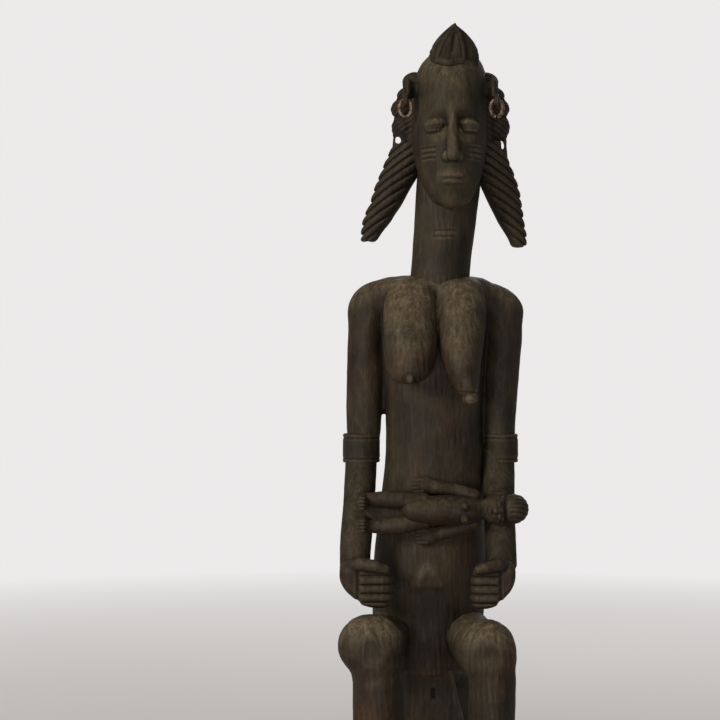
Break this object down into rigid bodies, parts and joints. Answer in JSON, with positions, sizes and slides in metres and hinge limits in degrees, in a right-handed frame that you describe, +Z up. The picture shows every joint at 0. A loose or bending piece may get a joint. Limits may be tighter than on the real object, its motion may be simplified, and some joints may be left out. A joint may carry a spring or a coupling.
{
  "type": "carved ancestor figure",
  "caption": "Seated wooden mother on a stool and plinth, fists on her thighs, child lying across her belly, ribbed side tresses, wire ear rings.",
  "frame": {"origin": "centre of the plinth's flat underside", "axes": "+Z up, the figure faces -Y, and its right side is at -X"},
  "size_m": [0.1667, 0.21, 0.7391],
  "materials": {
    "carved_wood": "dark, dry, hand-carved, matt with worn high points",
    "hair_wood": "darker hand-carved wood, matt",
    "ring_copper": "tarnished copper wire"
  },
  "bodies": {
    "carving": {"plinth": "carved_wood", "stool_pedestal": "carved_wood", "stool_seat": "carved_wood", "trunk": "carved_wood", "neck": "carved_wood", "head": "carved_wood", "ear_right": "carved_wood", "upper_arm_right": "carved_wood", "armband_right": "carved_wood", "forearm_right": "carved_wood", "fist_right": "carved_wood", "thigh_right": "carved_wood", "shin_right": "carved_wood", "foot_right": "carved_wood", "breast_right": "carved_wood", "child_leg_right": "carved_wood", "child_arm_right": "carved_wood", "ear_left": "carved_wood", "upper_arm_left": "carved_wood", "armband_left": "carved_wood", "forearm_left": "carved_wood", "fist_left": "carved_wood", "thigh_left": "carved_wood", "shin_left": "carved_wood", "foot_left": "carved_wood", "breast_left": "carved_wood", "child_leg_left": "carved_wood", "child_arm_left": "carved_wood", "child_torso": "carved_wood", "child_head": "carved_wood", "crest": "hair_wood", "plait_right": "hair_wood", "tress_right": "hair_wood", "plait_left": "hair_wood", "tress_left": "hair_wood"},
    "earring_right": {"earring_right": "ring_copper"},
    "earring_left": {"earring_left": "ring_copper"}
  },
  "joints": [
    {"name": "earring_right_swing", "type": "hinge", "parent": "carving", "child": "earring_right", "pos_m": [-0.0184, 0.003, 0.668], "axis": [1, 0, 0], "range_deg": [-60, 60]},
    {"name": "earring_left_swing", "type": "hinge", "parent": "carving", "child": "earring_left", "pos_m": [0.0564, 0.003, 0.668], "axis": [1, 0, 0], "range_deg": [-60, 60]}
  ]
}
